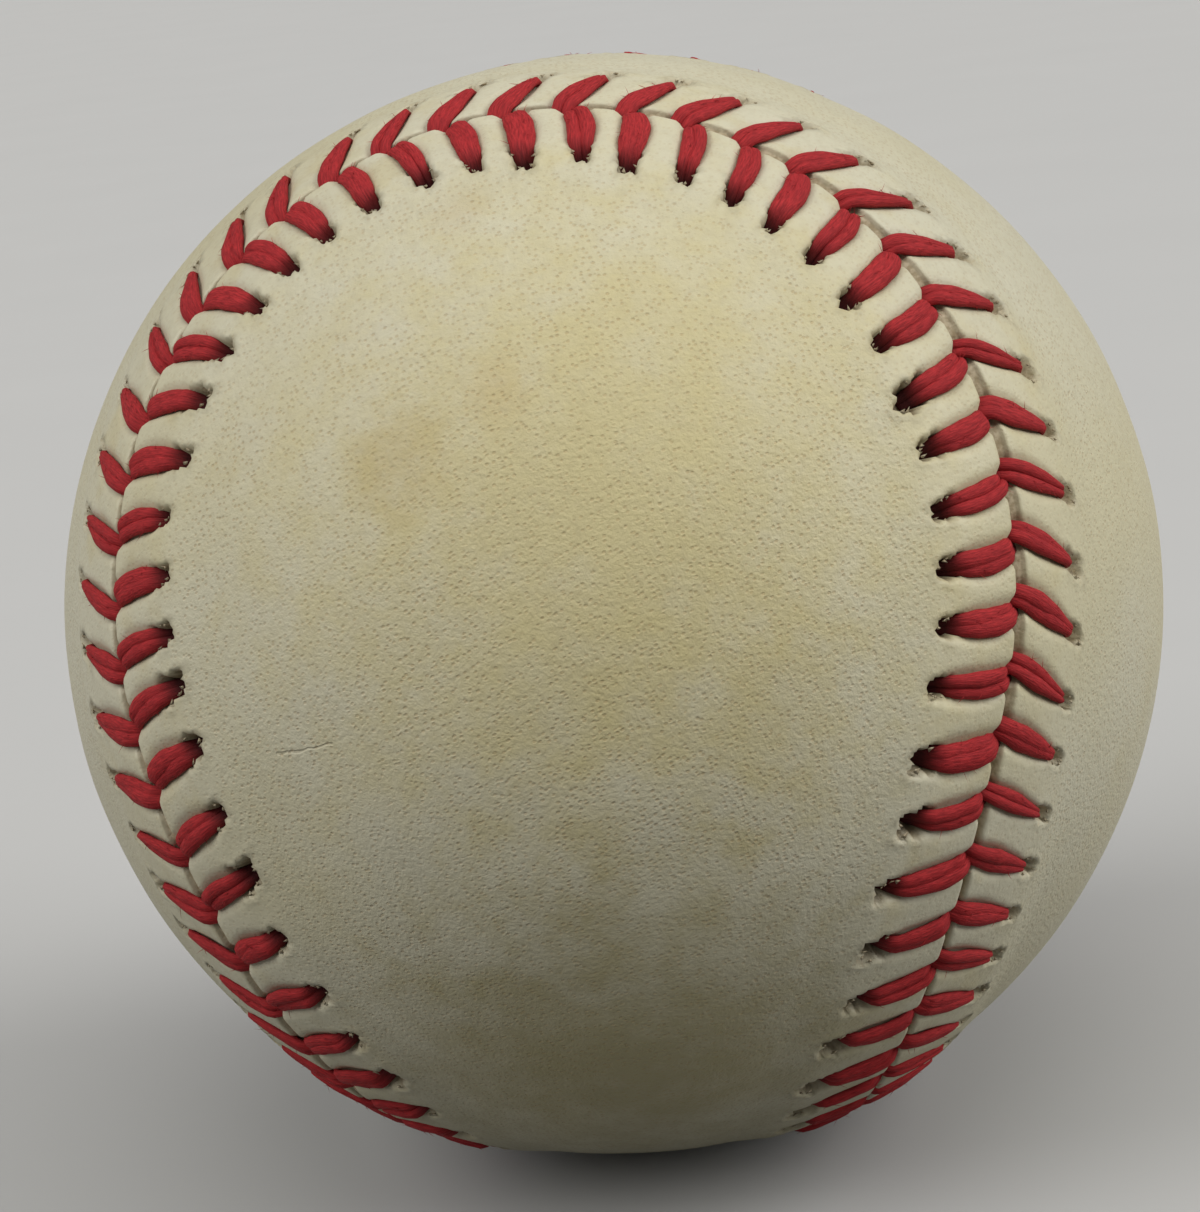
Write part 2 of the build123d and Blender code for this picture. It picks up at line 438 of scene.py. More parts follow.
def leaf(panel, t):
    """Share of a leg's full width along it, from groove to hole."""
    past = np.clip(t - leaf_fullest, 0, 1) / (1 - leaf_fullest)
    lost = hole_end_losses[panel] * past ** leaf_powers[panel]
    return 1 - (1 - groove_end_shares[panel]) * smooth(t, leaf_fullest, 0.0) - lost


def nearest_legs(panel, s, y):
    """For points near the seam: how deep they lie in a leg's valley, in a hole, and near a hole's rim."""
    row = rows[panel]
    valley = np.zeros(s.shape)
    pit = np.zeros(s.shape)
    rim = np.zeros(s.shape)
    base = np.floor(s / pitch).astype(int)
    reach = groove_reaches[panel]
    for shift in (-2, -1, 0, 1, 2):
        i = (base + shift) % stitch_count
        hole = row["setback"][i]
        size = row["open"][i]
        d = wrapped(s - leg_middle(panel, i, y)) * math.cos(leans[panel])
        far = smooth(y, hole + valley_runs_past[panel], hole - valley_fade)
        t = np.clip((y - reach) / (hole - hole_shortfall - reach), 0, 1)
        half = valley_half_share * row["width"][i] * np.maximum(leaf(panel, t), valley_least_leaf)
        valley = np.maximum(valley, np.exp(-((d / half) ** 4)) * far)
        along = (y - hole + hole_insets[panel]) / (hole_half_lengths[panel] * size)
        beside = d / (hole_half_widths[panel] * size)
        turn = np.arctan2(beside, along)
        tear = 1.0
        for depth, count, phase in hole_tears:
            tear = tear + depth * np.sin(count * turn + phase * row["torn"][i])
        distance = (beside**4 + along**4) ** 0.25 / tear
        pit = np.maximum(pit, smooth(distance, *hole_wall))
        rim = np.maximum(rim, np.exp(-(((distance - rim_middle) / rim_width) ** 2)))
    return valley, pit, rim


def welt_top(y):
    """Height of the swollen leather beside the seam."""
    rise = (welt_height - welt_plateau_height) * np.clip(1 - y / welt_plateau_width, 0, 1)
    return (welt_plateau_height + rise) * smooth(y, band_width - welt_run_out, welt_plateau_width)


def relief(panel, s, y, edge):
    """Height of the leather over the plain cover near the seam, with masks of raw hide, and of dirt and
    painted shade.
    """
    valley, pit, rim = nearest_legs(panel, s, y)
    near = smooth(y, *sewn_range)
    crown = crown_height * (1 - valley) * near
    from_edge = np.clip((y - edge) / edge_round, 0, 1)
    shoulder = edge_round * (1 - np.sqrt(np.clip(1 - (1 - from_edge) ** 2, 0, 1)))
    sunk = valley_depth * valley * (valley_outer_share + (1 - valley_outer_share) * near)
    height = welt_top(y) + crown - sunk - pit_depths[panel] * pit + rim_height * rim - shoulder
    raw = np.clip(pit * raw_gain, 0, 1)
    # Dirt on the rims; painted shade in the holes and the valleys
    grime_and_shade = np.clip(rim_grime * rim + hole_painted_shades[panel] * pit + valley_painted_shade * valley * near, 0, 1)
    return height, raw, grime_and_shade


# Leather panels: a fine band along the seam, an even filling, groove walls and an inside
def new_mesh(name, points, faces, attributes, uvs=None):
    mesh = bpy.data.meshes.new(name)
    mesh.from_pydata([tuple(p) for p in np.asarray(points) * MM], [], faces)
    mesh.update()
    mesh.shade_smooth()
    for key, values in attributes.items():
        layer = mesh.attributes.new(key, "FLOAT", "POINT")
        layer.data.foreach_set("value", np.asarray(values, np.float32))
    if uvs is not None:
        layer = mesh.uv_layers.new(name="thread")
        loops = np.zeros(len(mesh.loops), np.int32)
        mesh.loops.foreach_get("vertex_index", loops)
        layer.data.foreach_set("uv", np.asarray(uvs, np.float32)[loops].ravel())
    piece = bpy.data.objects.new(name, mesh)
    bpy.context.collection.objects.link(piece)
    return piece


def even_points(step):
    """Evenly spread directions on the sphere, about a step apart."""
    count = int(4 * math.pi * cover_radius**2 / (step * step * lattice_cell_share))
    k = np.arange(count) + 0.5
    z = 1 - 2 * k / count
    turn = k * math.pi * (3 - math.sqrt(5))
    r = np.sqrt(1 - z * z)
    return np.stack([r * np.cos(turn), r * np.sin(turn), z], axis=1)


def inside_points(side, margin):
    """Even directions on one panel, at least a margin away from the seam."""
    s = np.linspace(0, seam_length, seam_samples, endpoint=False)
    outward, travel = seam_frames(s)
    across = np.cross(outward, travel) * side
    kept = []
    for chunk in np.array_split(even_points(interior_step), search_chunks):
        cosine = chunk @ outward.T
        nearest = np.argmax(cosine, axis=1)
        distance = np.arccos(np.clip(cosine.max(axis=1), -1, 1)) * cover_radius
        facing = np.einsum("ij,ij->i", chunk, across[nearest]) > 0
        kept.append(chunk[(distance > margin) & facing])
    return np.concatenate(kept)


def flat_chart(directions, panel):
    """Stereographic chart from the pole that the panel does not reach."""
    pole = -1.0 if panel == "a" else 1.0
    return directions[:, :2] / (1 - pole * directions[:, 2:3])


def hole_shreds(panel, start):
    """Torn tips of hide around the holes, each a thin closed blade."""
    row = rows[panel]
    points, faces = [], []
    for i in range(stitch_count):
        for _ in range(shreds_per_hole):
            turn = random.uniform(-shred_spread, shred_spread)
            length = random.uniform(*shred_lengths)
            lift = random.uniform(*shred_lifts)
            breadth = random.uniform(*shred_breadths)
            half_length = hole_half_lengths[panel] * row["open"][i]
            half_width = hole_half_widths[panel] * row["open"][i]

            def spot(reach, aside, height):
                y = row["setback"][i] - hole_insets[panel] + math.cos(turn + aside) * half_length * reach
                s = leg_middle(panel, i, y) + math.sin(turn + aside) * half_width * reach
                return cover_direction(sides[panel], s, y) * (cover_radius + welt_top(y) + height)

            first = start + len(points)
            points.append(spot(shred_root, breadth, -shred_sink))
            points.append(spot(shred_root, -breadth, -shred_sink))
            points.append(spot(shred_belly, 0, -shred_belly_sink))
            points.append(spot(shred_belly - length, random.normal(0, shred_sway), lift - shred_tip_sink))
            for corners in ((0, 1, 3), (1, 2, 3), (2, 0, 3), (2, 1, 0)):
                faces.append(tuple(first + corner for corner in corners))
    return np.array(points), faces


def groove_edge(panel, s):
    """Distance of the leather's cut edge from the seam, notched where each leg goes over it."""
    valley, _, _ = nearest_legs(panel, s, np.full(len(s), notch_probe))
    edge = edge_setbacks[panel] + edge_notch * valley
    if panel == "a":
        lobe_turn = 8 * math.pi * (s - groove_opening_station) / seam_length
        edge = edge + groove_opening * np.cos(lobe_turn)
    return edge


def band_points(panel, s):
    """Rows of points from the foot of the cut edge up and out over the welt, with their masks."""
    edge = groove_edge(panel, s)
    points = []
    masks = {"raw": [], "grime_and_shade": [], "taut": []}

    def add_row(y, height, raw, grime_and_shade):
        direction = cover_direction(sides[panel], s, y)
        radius = cover_radius + height + undulation(direction)
        points.append(direction * radius[:, None])
        masks["raw"].append(raw)
        masks["grime_and_shade"].append(grime_and_shade)
        masks["taut"].append(smooth(y, *taut_range))

    ones = np.ones(len(s))
    foot = edge_feet[panel] * ones
    foot_height = cover_inner_radius - cover_radius + lining_gap
    top, _, _ = relief(panel, s, edge, edge)
    # The foot of the cut edge is raw hide in full painted shade
    add_row(foot, foot_height * ones, ones, ones)
    for share in wall_shares:
        y = foot + (edge - foot) * np.clip((share - wall_lean_start) / (1 - wall_lean_start), 0, 1)
        add_row(y, foot_height + (top - foot_height) * share, ones, wall_painted_shade * (1 - share) * ones)
    for offset in band_rows:
        y = edge + offset * (band_width - edge) / band_reach
        height, raw, grime_and_shade = relief(panel, s, y, edge)
        cut = smooth(offset, cut_width, 0.0)
        add_row(y, height, np.maximum(raw, cut_raw * cut), np.maximum(grime_and_shade, cut_grime * cut))
    return points, masks


def ring_faces(lower, upper, side):
    """Quads between two closed rows of points, given by their numbers."""
    faces = []
    for i in range(len(lower)):
        k = (i + 1) % len(lower)
        quad = (int(lower[i]), int(lower[k]), int(upper[k]), int(upper[i]))
        faces.append(quad if side > 0 else quad[::-1])
    return faces


def filling_faces(panel, outer, loop, start):
    """Triangles over the filling's points, which start at a number, inside the band's last row."""
    columns = len(loop)
    inside = np.concatenate([outer[loop], outer[start:]])
    inside = inside / np.linalg.norm(inside, axis=1, keepdims=True)
    chart = [Vector(p) for p in flat_chart(inside, panel).tolist()]
    outline = [(i, (i + 1) % columns) for i in range(columns)]
    inside_only, weld = 1, 1e-7
    _, _, triangles, origin, _, _ = delaunay_2d_cdt(chart, outline, [], inside_only, weld)
    index = [loop[o[0]] if o[0] < columns else start + o[0] - columns for o in origin]
    faces = []
    for triangle in triangles:
        face = tuple(int(index[v]) for v in triangle)
        a, b, c = (outer[v] for v in face)
        faces.append(face if np.dot(np.cross(b - a, c - a), a) > 0 else face[::-1])
    return faces


def leather_panel(panel):
    side = sides[panel]
    columns = stitch_count * columns_per_stitch
    s = np.arange(columns) * pitch / columns_per_stitch
    points, masks = band_points(panel, s)
    start = len(points) * columns
    numbers = np.arange(start).reshape(len(points), columns)
    loop = numbers[-1]
    filling = inside_points(side, band_width + filling_gap_share * interior_step)
    filling_radius = cover_radius + undulation(filling)
    outer = np.concatenate(points + [filling * filling_radius[:, None]])
    fill_faces = filling_faces(panel, outer, loop, start)
    inner_ids = np.concatenate([loop, np.arange(start, len(outer))])
    inner_of = {int(v): len(outer) + k for k, v in enumerate(inner_ids)}
    inner = outer[inner_ids]
    inner = inner / np.linalg.norm(inner, axis=1, keepdims=True) * (cover_inner_radius + lining_gap)
    faces = []
    for lower, upper in zip(numbers[:-1], numbers[1:]):
        faces += ring_faces(lower, upper, side)
    faces += fill_faces
    faces += [tuple(inner_of[v] for v in face[::-1]) for face in fill_faces]
    faces += ring_faces([inner_of[int(v)] for v in loop], numbers[0], side)
    shred_points, shred_faces = hole_shreds(panel, len(outer) + len(inner))
    rest = np.zeros(len(filling))
    for key, inner_value, shred_value in (("raw", 1, shred_raw), ("grime_and_shade", 0, shred_grime), ("taut", 0, 1)):
        inner_mask = np.full(len(inner), float(inner_value))
        shred_mask = np.full(len(shred_points), float(shred_value))
        masks[key] = np.concatenate(masks[key] + [rest, inner_mask, shred_mask])
    points = np.concatenate([outer, inner, shred_points])
    return new_mesh(f"leather_panel_{panel}", points, faces + shred_faces, masks)


# Stitch legs: two strands side by side, out of the hole, over the leather and down into the groove
def leg_path(panel, i):
    """A leg's middle line: points, directions along it, across it and up, and how deep it lies in shade."""
    t = np.linspace(0, 1, leg_rings)
    reach = groove_reaches[panel]
    hole = rows[panel]["setback"][i]
    dive_start = hole - hole_dive_runs[panel]
    y = reach + (hole - hole_shortfall - reach) * t
    seat = welt_top(np.clip(y, seat_inner, None)) - valley_depth + seat_share * thread_thickness
    rise = leg_rise * np.sin(math.pi * t)
    into_groove = groove_dive * smooth(y, reach + groove_dive_run, reach)
    into_hole = hole_dive * smooth(y, dive_start, hole - hole_shortfall)
    direction = cover_direction(sides[panel], leg_middle(panel, i, y), y)
    path = direction * (cover_radius + seat + rise - into_groove - into_hole)[:, None]
    along = np.gradient(path, axis=0)
    along /= np.linalg.norm(along, axis=1, keepdims=True)
    across = np.cross(along, direction)
    across /= np.linalg.norm(across, axis=1, keepdims=True)
    groove_shade = smooth(y, reach + groove_shade_run, reach)
    hole_shade = smooth(y, dive_start, hole - hole_shade_share * hole_dive_runs[panel])
    return t, path, along, across, np.cross(across, along), np.maximum(groove_shade, hole_shade)


def leaf_half_width(panel, i, t):
    return rows[panel]["width"][i] / 2 * leaf(panel, t)


def strand(panel, i, which):
    """Points of one strand's rings, its tube coordinates and each ring's painted shade, darker in the
    groove and the hole.
    """
    t, path, along, across, up, deep = leg_path(panel, i)
    apart = strand_apart + strand_apart_sway * math.sin(leg_phases["apart"] * i)
    half = leaf_half_width(panel, i, t)
    swell = strand_swell * np.sin(strand_swell_rate * t + leg_phases["swell"] * i + strand_phase * which)
    ripple = strand_ripple * np.sin(strand_ripple_rate * t + leg_phases["ripple"] * i)
    uneven = 1 + swell + ripple
    roll = strand_roll * (t - strand_roll_middle) + strand_roll_sway * math.sin(leg_phases["roll"] * i)
    offset = half * apart * which
    middle = path + (np.cos(roll) * offset)[:, None] * across + (np.sin(roll) * offset)[:, None] * up
    turn = np.arange(strand_sides) / strand_sides * 2 * math.pi
    breadth = half * (1 - apart) * uneven
    thin = strand_thin_share + (1 - strand_thin_share) * half / half.max()
    thick = thread_thickness / 2 * thin * uneven
    ring = np.cos(turn)[None, :, None] * breadth[:, None, None] * across[:, None, :]
    ring = ring + np.sin(turn)[None, :, None] * thick[:, None, None] * up[:, None, :]
    length = np.concatenate([[0], np.cumsum(np.linalg.norm(np.diff(path, axis=0), axis=1))])
    own_start = fibre_step_per_leg * i + fibre_step_per_strand * which
    u = np.repeat(length[:, None], strand_sides, axis=1) + own_start
    v = np.repeat(turn[None, :] / (2 * math.pi), leg_rings, axis=0)
    uv = np.stack([u, v], axis=-1).reshape(-1, 2)
    return (middle[:, None, :] + ring).reshape(-1, 3), uv, np.repeat(deep, strand_sides)


def leg_hairs(panel, i, start):
    """Loose fibres that stand off a leg, as thin three-sided tapers."""
    t, path, along, across, up, deep = leg_path(panel, i)
    half = leaf_half_width(panel, i, t)
    points, uvs, painted_shades, faces = [], [], [], []
    for _ in range(hairs_per_leg):
        k = random.integers(hair_first_ring, leg_rings - hair_last_rings)
        aside = random.uniform(-1, 1)
        over = hair_root_height * thread_thickness * math.sqrt(1 - hair_root_curve * aside**2)
        root = path[k] + across[k] * half[k] * aside * hair_root_spread + up[k] * over
        way = along[k] * random.choice([-1, 1]) * random.uniform(*hair_leans)
        way = way + across[k] * aside * random.uniform(*hair_leans)
        way = unit(way + up[k] * random.uniform(*hair_lifts)) * random.uniform(*hair_lengths)
        bend = across[k] * random.normal(0, hair_bend)
        first = start + len(points)
        turns = hair_corners if np.dot(way, along[k]) < 0 else hair_corners[::-1]
        for share, radius in hair_rings:
            centre = root + way * share + bend * share * share
            for turn in turns:
                points.append(centre + radius * (across[k] * math.cos(turn) + up[k] * math.sin(turn)))
        points.append(root + way + bend)
        hair_size = start + len(points) - first
        uvs += [(first * hair_fibre_step, hair_fibre_side)] * hair_size
        painted_shades += [0.0] * hair_size
        for n in range(3):
            m = (n + 1) % 3
            faces.append((first + n, first + m, first + 3 + m, first + 3 + n))
            faces.append((first + 3 + n, first + 3 + m, first + 6))
        faces.append((first + 2, first + 1, first))
    return points, uvs, painted_shades, faces


def strand_faces(start):
    faces = []
    for j in range(leg_rings - 1):
        for k in range(strand_sides):
            n = (k + 1) % strand_sides
            a = start + j * strand_sides
            faces.append((a + k, a + strand_sides + k, a + strand_sides + n, a + n))
    faces.append(tuple(start + k for k in range(strand_sides)))
    last = start + (leg_rings - 1) * strand_sides
    faces.append(tuple(last + k for k in reversed(range(strand_sides))))
    return faces


def stitch_row(lobe, panel):
    points, uvs, painted_shades, faces = [], [], [], []
    first = lobe * stitches_per_lobe
    for i in range(first, first + stitches_per_lobe):
        for which in (-1, 1):
            ring_points, ring_uvs, ring_painted_shade = strand(panel, i, which)
            faces += strand_faces(len(points))
            points += list(ring_points)
            uvs += list(ring_uvs)
            painted_shades += list(ring_painted_shade)
        hair_points, hair_uvs, hair_painted_shades, hair_faces = leg_hairs(panel, i, len(points))
        points += hair_points
        uvs += hair_uvs
        painted_shades += hair_painted_shades
        faces += hair_faces
    # The attribute deep carries the legs' painted shade
    return new_mesh(f"thread_{lobe_names[lobe]}_on_{panel}", points, faces, {"deep": painted_shades}, uvs)


# Materials
class Nodes:
    """A short way to write a material's node tree."""

    def __init__(self, name):
        self.material = bpy.data.materials.new(name)
        self.material.use_nodes = True
        self.tree = self.material.node_tree
        self.shader = self.tree.nodes["Principled BSDF"]

    def add(self, kind, settings=None, **inputs):
        """A new node. Inputs are named with _ for a space, or numbered as i0, i1 and so on."""
        node = self.tree.nodes.new(kind)
        for key, value in (settings or {}).items():
            setattr(node, key, value)
        for key, value in inputs.items():
            numbered = key[0] == "i" and key[1:].isdigit()
            self.link(value, node.inputs[int(key[1:]) if numbered else key.replace("_", " ")])
        return node

    def link(self, value, socket):
        if isinstance(value, bpy.types.NodeSocket):
            self.tree.links.new(value, socket)
        else:
            socket.default_value = value

    def math(self, operation, a, b=0.0):
        return self.add("ShaderNodeMath", {"operation": operation}, i0=a, i1=b).outputs[0]

    def vector_math(self, operation, a, b=(0, 0, 0)):
        node = self.add("ShaderNodeVectorMath", {"operation": operation}, i0=a, i1=b)
        gives_number = operation in ("DISTANCE", "DOT_PRODUCT", "LENGTH")
        return node.outputs["Value" if gives_number else "Vector"]

    def scaled(self, vector, share):
        node = self.add("ShaderNodeVectorMath", {"operation": "SCALE"}, i0=vector, Scale=share)
        return node.outputs["Vector"]

    def ramp(self, value, low, high):
        """A soft step from 0 at low to 1 at high."""
        soft = {"interpolation_type": "SMOOTHSTEP"}
        node = self.add("ShaderNodeMapRange", soft, Value=value, From_Min=low, From_Max=high)
        return node.outputs[0]

    def spread(self, value, low, high):
        """A share from 0 to 1, spread from low to high."""
        return self.add("ShaderNodeMapRange", Value=value, To_Min=low, To_Max=high).outputs[0]

    def mix(self, share, a, b):
        node = self.tree.nodes.new("ShaderNodeMix")
        node.data_type = "RGBA"
        self.link(share, node.inputs[0])
        self.link(a, node.inputs[6])
        self.link(b, node.inputs[7])
        return node.outputs[2]

    def laid_over(self, colour, tint, mask, strength):
        """A colour with a tint over it where the mask says, at a strength."""
        return self.mix(self.math("MULTIPLY", mask, strength), colour, tint)

    def noise(self, vector, scale, detail=3.0, rough=0.5):
        node = self.add("ShaderNodeTexNoise", Vector=vector, Scale=scale, Detail=detail, Roughness=rough)
        return node.outputs["Fac"]

    def place(self):
        return self.add("ShaderNodeTexCoord").outputs["Object"]

    def attribute(self, name):
        return self.add("ShaderNodeAttribute", {"attribute_name": name}).outputs["Fac"]

    def stretched(self, vector, turn, scale, kind="POINT"):
        node = self.add("ShaderNodeMapping", {"vector_type": kind}, Vector=vector)
        node.inputs["Rotation"].default_value = turn
        node.inputs["Scale"].default_value = scale
        return node.outputs[0]

    def bump(self, height, strength, depth, normal=None):
        node = self.add("ShaderNodeBump", Height=height, Strength=strength, Distance=depth * MM)
        if normal is not None:
            self.link(normal, node.inputs["Normal"])
        return node.outputs[0]

    def finish(self, colour, roughness, normal, gloss=0.5):
        """Set the shader's colour, roughness, normal and specular level."""
        self.link(colour, self.shader.inputs["Base Color"])
        self.link(roughness, self.shader.inputs["Roughness"])
        self.link(normal, self.shader.inputs["Normal"])
        self.shader.inputs["Specular IOR Level"].default_value = gloss
        return self.material


def ball_spot(azimuth, elevation):
    """Point of the cover, in metres, by degrees round from the front and up from the level."""
    a, e = math.radians(azimuth), math.radians(elevation)
    return Vector((math.sin(a) * math.cos(e), -math.cos(a) * math.cos(e), math.sin(e))) * cover_radius * MM


def stained(n, place, colour):
    """The hide's colour with each mark laid over it, with a ragged edge. The lowest mark is dirt and
    painted shade.
    """
    ragged = n.math("MULTIPLY", n.math("SUBTRACT", n.noise(place, 320, 4, 0.6), 0.5), 1.5)
    for azimuth, elevation, radius, strength, tint in stains.values():
        distance = n.vector_math("DISTANCE", place, ball_spot(azimuth, elevation))
        reach = n.math("ADD", n.math("DIVIDE", distance, radius * MM), ragged)
        colour = n.laid_over(colour, tint, n.ramp(reach, 1.15, 0.0), strength)
    return colour


def crease_distance(n, place):
    """Distance from the crack's wavering line, in metres."""
    first, last = (ball_spot(*end) for end in crease_ends)
    run = last - first
    drift = n.add("ShaderNodeTexNoise", Vector=place, Scale=420.0, Detail=2.0).outputs["Color"]
    drift = n.scaled(n.vector_math("SUBTRACT", drift, (0.5, 0.5, 0.5)), crease_waver * MM)
    arm = n.vector_math("ADD", n.vector_math("SUBTRACT", place, first), drift)
    share = n.vector_math("DOT_PRODUCT", arm, run / run.length_squared)
    held = n.add("ShaderNodeClamp", Value=share).outputs[0]
    beside = n.vector_math("SUBTRACT", arm, n.scaled(run, held))
    outward = Vector(unit(np.array(first + last)))
    return n.vector_math("LENGTH", n.vector_math("CROSS_PRODUCT", beside, outward))


def leather_material():
    n = Nodes("ivory_hide")
    place = n.place()
    taut = n.attribute("taut")
    drift = n.ramp(n.noise(place, 45, 4), 0.35, 0.70)
    colour = n.mix(drift, pale_hide, warm_hide)
    blotch = n.ramp(n.noise(place, 130, 5, 0.6), 0.54, 0.78)
    colour = n.laid_over(colour, blotch_brown, blotch, 0.22)
    sweat = n.ramp(n.noise(place, 230, 3, 0.55), 0.50, 0.72)
    colour = n.laid_over(colour, sweat_yellow, n.math("MULTIPLY", sweat, taut), 0.30)
    colour = stained(n, place, colour)
    mottle = n.ramp(n.noise(place, 1500, 3, 0.65), 0.40, 0.75)
    colour = n.laid_over(colour, mottle_brown, mottle, 0.16)

    # Pores in slanting rows, fewer where the hide is stretched tight
    lines = n.stretched(place, (0.15, -0.42, 0.1), (1.45, 1.2, 1.0), "TEXTURE")
    pores = n.add("ShaderNodeTexVoronoi", Vector=lines, Scale=3300, Randomness=0.65).outputs["Distance"]
    patchy = n.spread(n.noise(place, 120, 2), 0.25, 1.0)
    slack = n.spread(taut, 1.0, 0.45)
    pore = n.math("MULTIPLY", n.math("MULTIPLY", n.ramp(pores, 0.40, 0.16), patchy), slack)
    colour = n.laid_over(colour, pore_brown, pore, 0.46)

    # Raw hide at cuts and holes, dirt with painted shade, and the crack
    raw_colour = n.mix(n.ramp(n.noise(place, 2600, 3), 0.35, 0.65), raw_dark, raw_light)
    colour = n.mix(n.attribute("raw"), colour, raw_colour)
    # Dirt on hole rims and cut edges; painted shade in the holes, the leg valleys and the groove's foot
    colour = n.laid_over(colour, grime_and_shade_brown, n.attribute("grime_and_shade"), 0.88)
    outer, inner = crease_half_widths
    # The crack, darkened with painted shade along its line
    crease = n.ramp(crease_distance(n, place), outer * MM, inner * MM)
    colour = n.laid_over(colour, crease_painted_shade, crease, 0.14)

    grain = n.noise(place, 3400, 4, 0.6)
    normal = n.bump(n.math("MULTIPLY", grain, slack), 0.60, 0.15)
    normal = n.bump(n.math("SUBTRACT", 1.0, crease), 0.5, 0.15, normal)
    normal = n.bump(n.math("SUBTRACT", 1.0, pore), 0.50, 0.08, normal)
    return n.finish(colour, n.spread(grain, 0.40, 0.62), normal, gloss=0.45)


def thread_material():
    n = Nodes("waxed_red_thread")
    uv = n.add("ShaderNodeUVMap", {"uv_map": "thread"}).outputs[0]
    fibres = n.noise(n.stretched(uv, (0, 0, 0.22), (0.8, 18, 1)), 1.7, 5, 0.65)
    colour = n.mix(n.ramp(fibres, 0.28, 0.72), thread_dark, thread_light)
    worn = n.ramp(n.noise(n.place(), 420, 3), 0.45, 0.75)
    colour = n.laid_over(colour, thread_worn, worn, 0.40)
    # Painted shade where the legs dive into the groove and their holes
    colour = n.laid_over(colour, thread_painted_shade, n.attribute("deep"), 0.90)
    return n.finish(colour, 0.72, n.bump(fibres, 0.7, 0.14), gloss=0.25)


def yarn_material(name, dark, light, scale):
    n = Nodes(name)
    place = n.place()
    bands = n.stretched(place, (0.6, 0.4, 0.2), (1, 1, 1))
    wind = n.add("ShaderNodeTexWave", {"wave_type": "BANDS"}, Vector=bands, Scale=scale, Distortion=6)
    shade = n.math("MULTIPLY", wind.outputs["Fac"], n.noise(place, 1800, 4))
    colour = n.mix(n.ramp(shade, 0.05, 0.5), dark, light)
    return n.finish(colour, 0.9, n.bump(wind.outputs["Fac"], 0.6, 0.4))


def moulded_material(name, dark, light, scale, roughness):
    n = Nodes(name)
    speck = n.noise(n.place(), scale, 5, 0.65)
    colour = n.mix(n.ramp(speck, 0.35, 0.65), dark, light)
    return n.finish(colour, roughness, n.bump(speck, 0.3, 0.3))


def dress_inside():
    """Finishes for the pieces that the cover hides."""
    cork = moulded_material("cork_composition", (0.20, 0.11, 0.05, 1), (0.58, 0.40, 0.22, 1), 700, 0.85)
    black = moulded_material("black_rubber", (0.010, 0.010, 0.010, 1), (0.028, 0.028, 0.027, 1), 500, 0.6)
    red = moulded_material("red_rubber", (0.26, 0.035, 0.03, 1), (0.40, 0.06, 0.045, 1), 500, 0.6)
    cement = moulded_material("dried_cement", (0.50, 0.40, 0.22, 1), (0.66, 0.57, 0.36, 1), 400, 0.45)
    grey = yarn_material("grey_wool", (0.10, 0.10, 0.09, 1), (0.36, 0.35, 0.32, 1), 900)
    white = yarn_material("white_wool", (0.42, 0.40, 0.34, 1), (0.80, 0.77, 0.69, 1), 900)
    cotton = yarn_material("fine_cotton", (0.50, 0.47, 0.40, 1), (0.84, 0.81, 0.73, 1), 2200)
    finishes = {
        "cork_core": cork,
        "rubber_cup_upper": black,
        "rubber_cup_lower": black,
        "cup_gasket": red,
        "red_rubber_jacket": red,
        "inner_grey_wool_winding": grey,
        "white_wool_winding": white,
        "outer_grey_wool_winding": grey,
        "cotton_winding": cotton,
        "cement_coat": cement,
    }
    for node, material in finishes.items():
        mesh = frame["nodes"][node].data
        mesh.materials.clear()
        mesh.materials.append(material)


# Stage: camera, floor and light
def place_camera():
    sin, cos = math.sin, math.cos
    level_out = Vector((sin(camera_azimuth), -cos(camera_azimuth), 0))
    back = level_out * cos(camera_elevation) + Vector((0, 0, sin(camera_elevation)))
    level = Vector((cos(camera_azimuth), sin(camera_azimuth), 0))
    upright = back.cross(level)
    right = level * cos(camera_roll) - upright * sin(camera_roll)
    up = upright * cos(camera_roll) + level * sin(camera_roll)
    focal_px = edge_radius_px * math.sqrt(camera_distance_share**2 - 1)
    data = bpy.data.cameras.new("camera")
    data.sensor_width = sensor_width
    data.lens = focal_px / photo_size[1] * sensor_width
    data.shift_x = (photo_size[0] / 2 - edge_centre_px[0]) / photo_size[1]
    data.shift_y = (edge_centre_px[1] - photo_size[1] / 2) / photo_size[1]
    data.clip_start = clip_start
    camera = bpy.data.objects.new("camera", data)
    place = back * camera_distance_share * cover_radius * MM
    camera.matrix_world = Matrix.Translation(place) @ Matrix((right, up, back)).transposed().to_4x4()
    bpy.context.collection.objects.link(camera)
    bpy.context.scene.camera = camera


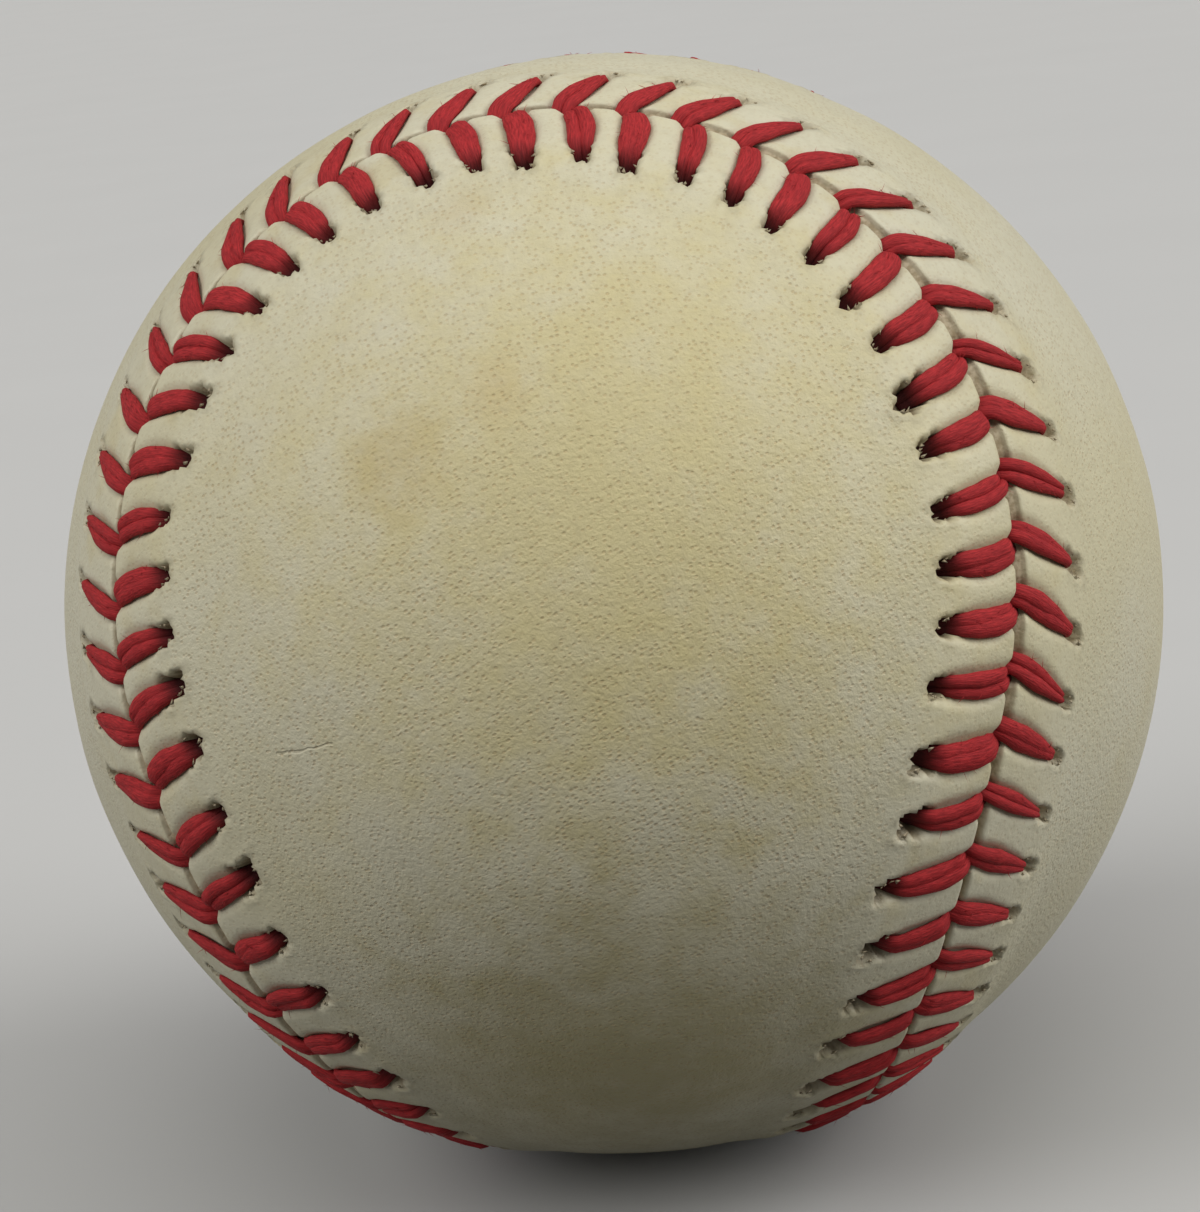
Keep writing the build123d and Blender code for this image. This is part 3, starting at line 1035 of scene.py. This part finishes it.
def soft_lamp(name, towards, strength, colour):
    """Broad soft light from a direction, which lights the floor evenly."""
    data = bpy.data.lights.new(name, "SUN")
    data.angle = lamp_angle
    data.energy = strength
    data.color = colour
    lamp = bpy.data.objects.new(name, data)
    lamp.rotation_euler = Vector(towards).to_track_quat("Z", "Y").to_euler()
    bpy.context.collection.objects.link(lamp)


def floor():
    """A pale cloth-like floor under the ball, which throws little light back on it."""
    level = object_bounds()[0][2]
    half = floor_half_width
    corners = [(-half, -half, level), (half, -half, level), (half, half, level), (-half, half, level)]
    mesh = bpy.data.meshes.new("floor")
    mesh.from_pydata(corners, [], [(0, 1, 2, 3)])
    piece = bpy.data.objects.new("floor", mesh)
    bpy.context.collection.objects.link(piece)
    n = Nodes("pale_cloth")
    pale = n.mix(n.noise(n.place(), 25, 3), cloth_grey, cloth_pale)
    path = n.add("ShaderNodeLightPath").outputs
    mirrored = n.math("MAXIMUM", path["Is Glossy Ray"], path["Is Transmission Ray"])
    seen = n.math("MAXIMUM", path["Is Camera Ray"], mirrored)
    n.link(n.mix(seen, cloth_bounce, pale), n.shader.inputs["Base Color"])
    n.shader.inputs["Roughness"].default_value = 0.9
    mesh.materials.append(n.material)
    piece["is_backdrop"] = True


def world():
    scene = bpy.context.scene
    scene.world = bpy.data.worlds.new("room")
    scene.world.use_nodes = True
    sky = scene.world.node_tree.nodes["Background"]
    sky.inputs["Color"].default_value = room_colour
    sky.inputs["Strength"].default_value = room_strength


leather = leather_material()
thread = thread_material()
for panel in sides:
    piece = leather_panel(panel)
    piece.data.materials.append(leather)
    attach(piece, "root")
    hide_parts(f"cover_panel_{panel}")
    for lobe, lobe_name in enumerate(lobe_names):
        legs = stitch_row(lobe, panel)
        legs.data.materials.append(thread)
        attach(legs, "root")
        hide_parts(f"stitches_{lobe_name}_on_{panel}")
dress_inside()
place_camera()
floor()
world()
for name, (towards, strength, colour) in lamps.items():
    soft_lamp(name, towards, strength, colour)
bpy.context.scene.view_settings.view_transform = "Standard"
